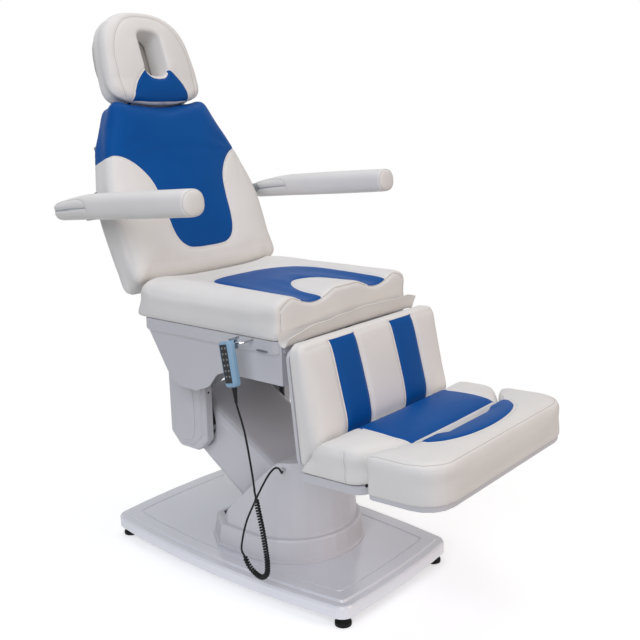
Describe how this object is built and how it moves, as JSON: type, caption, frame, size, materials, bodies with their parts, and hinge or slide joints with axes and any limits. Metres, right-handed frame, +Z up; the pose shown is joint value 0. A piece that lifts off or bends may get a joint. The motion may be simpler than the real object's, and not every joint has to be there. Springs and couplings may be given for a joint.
{
  "type": "facial bed",
  "caption": "Electric facial bed: lifting padded seat, reclining back, head rest with breathing slot, folding arms, rising leg rest with level foot rest, hand control on a curly cord.",
  "frame": {"origin": "on the floor under the middle of the bed's box, the cord left out", "axes": "+Z up, -Y towards the foot end, +X towards the sitter's left"},
  "size_m": [0.914, 1.4378, 1.7016],
  "materials": {
    "white_vinyl": "soft satin vinyl",
    "moulded_plastic": "satin moulded plastic",
    "gloss_shell": "glossy moulded plastic",
    "painted_steel": "powder coat",
    "bright_steel": "bright plated",
    "plywood": "plain plywood",
    "black_rubber": "matte",
    "handset_plastic": "satin",
    "keypad_film": "matte film"
  },
  "bodies": {
    "base": {"base_cover": "gloss_shell", "base_frame": "painted_steel", "levelling_foot_front_left": "black_rubber", "levelling_foot_front_right": "black_rubber", "levelling_foot_rear_left": "black_rubber", "levelling_foot_rear_right": "black_rubber", "turret_cover": "moulded_plastic", "lift_yoke": "painted_steel", "lower_shaft": "bright_steel", "cord_gland": "black_rubber", "cord_tail": "black_rubber"},
    "lift_arm": {"lift_arm": "painted_steel", "lift_arm_cover": "moulded_plastic"},
    "tie_bar": {"tie_bar": "painted_steel"},
    "carriage": {"seat_carriage": "painted_steel", "upper_shaft": "bright_steel", "ear_cover_left": "moulded_plastic", "ear_cover_right": "moulded_plastic", "seat_tub": "moulded_plastic", "seat_frame": "painted_steel", "seat_board": "plywood", "seat_cushion": "white_vinyl", "seat_apron": "white_vinyl", "handset_hook": "bright_steel", "cord_curls": "black_rubber"},
    "back": {"back_cushion": "white_vinyl", "back_board": "plywood", "back_frame": "painted_steel", "back_hinge_shaft": "bright_steel", "arm_bracket_left": "painted_steel", "arm_bracket_right": "painted_steel", "arm_pivot_bolt_left": "bright_steel", "arm_pivot_bolt_right": "bright_steel"},
    "head_stem": {"head_stem": "bright_steel"},
    "head_rest": {"head_cushion": "white_vinyl", "head_board": "plywood", "head_hinge": "painted_steel"},
    "arm_left": {"arm_core_left": "painted_steel", "arm_pad_left": "white_vinyl"},
    "arm_right": {"arm_core_right": "painted_steel", "arm_pad_right": "white_vinyl"},
    "leg": {"leg_cushion": "white_vinyl", "leg_panel": "moulded_plastic", "leg_hinge_shaft": "bright_steel"},
    "foot": {"foot_cushion_inner": "white_vinyl", "foot_tray": "moulded_plastic", "foot_hinge_pin_left": "bright_steel", "foot_hinge_pin_right": "bright_steel"},
    "foot_extension": {"foot_cushion_outer": "white_vinyl", "foot_plate": "moulded_plastic", "foot_rail_left": "bright_steel", "foot_rail_right": "bright_steel"},
    "foot_link": {"foot_link": "painted_steel"},
    "handset": {"handset_case": "handset_plastic", "handset_keypad": "keypad_film", "handset_clip": "bright_steel", "handset_relief": "black_rubber", "cord_lead": "black_rubber"}
  },
  "joints": [
    {"name": "lift", "type": "hinge", "parent": "base", "child": "lift_arm", "pos_m": [0, -0.01228, 0.25], "axis": [1, 0, 0], "range_deg": [-30, 8], "deforming": ["cord_curls", "cord_tail", "cord_lead"]},
    {"name": "carriage_level", "type": "hinge", "parent": "lift_arm", "child": "carriage", "pos_m": [0, 0.2925, 0.43971], "axis": [1, 0, 0], "range_deg": [-8, 30]},
    {"name": "tie_level", "type": "hinge", "parent": "base", "child": "tie_bar", "pos_m": [0, -0.01228, 0.194], "axis": [1, 0, 0], "range_deg": [-30, 8]},
    {"name": "back_recline", "type": "hinge", "parent": "carriage", "child": "back", "pos_m": [0, 0.40772, 0.795], "axis": [-1, 0, 0], "range_deg": [0, 66]},
    {"name": "head_slide", "type": "slide", "parent": "back", "child": "head_stem", "axis": [0, 0.3746, 0.9272], "range_m": [0, 0.09]},
    {"name": "head_tilt", "type": "hinge", "parent": "head_stem", "child": "head_rest", "pos_m": [0, 0.67948, 1.40782], "axis": [-1, 0, 0], "range_deg": [0, 35]},
    {"name": "arm_left_fold", "type": "hinge", "parent": "back", "child": "arm_left", "pos_m": [0.4166, 0.51748, 1.12005], "axis": [-1, 0, 0], "range_deg": [-60, 90]},
    {"name": "arm_right_fold", "type": "hinge", "parent": "back", "child": "arm_right", "pos_m": [-0.4166, 0.51748, 1.12005], "axis": [-1, 0, 0], "range_deg": [-60, 90]},
    {"name": "leg_raise", "type": "hinge", "parent": "carriage", "child": "leg", "pos_m": [0, -0.21828, 0.772], "axis": [-1, 0, 0], "range_deg": [0, 80], "deforming": ["seat_apron"]},
    {"name": "foot_level", "type": "hinge", "parent": "leg", "child": "foot", "pos_m": [0, -0.25428, 0.449], "axis": [-1, 0, 0], "range_deg": [-80, 0]},
    {"name": "link_swing", "type": "hinge", "parent": "carriage", "child": "foot_link", "pos_m": [0, -0.20628, 0.738], "axis": [-1, 0, 0], "range_deg": [0, 80]},
    {"name": "foot_slide", "type": "slide", "parent": "foot", "child": "foot_extension", "axis": [0, -0.9994, 0.0349], "range_m": [0, 0.1]},
    {"name": "handset_lift", "type": "slide", "parent": "carriage", "child": "handset", "axis": [0, 0, 1], "range_m": [0, 0.04], "deforming": ["cord_lead"]}
  ],
  "couplings": [
    {"joint": "carriage_level", "follows": "lift", "ratio": -1},
    {"joint": "tie_level", "follows": "lift", "ratio": 1},
    {"joint": "foot_level", "follows": "leg_raise", "ratio": -1},
    {"joint": "link_swing", "follows": "leg_raise", "ratio": 1}
  ]
}
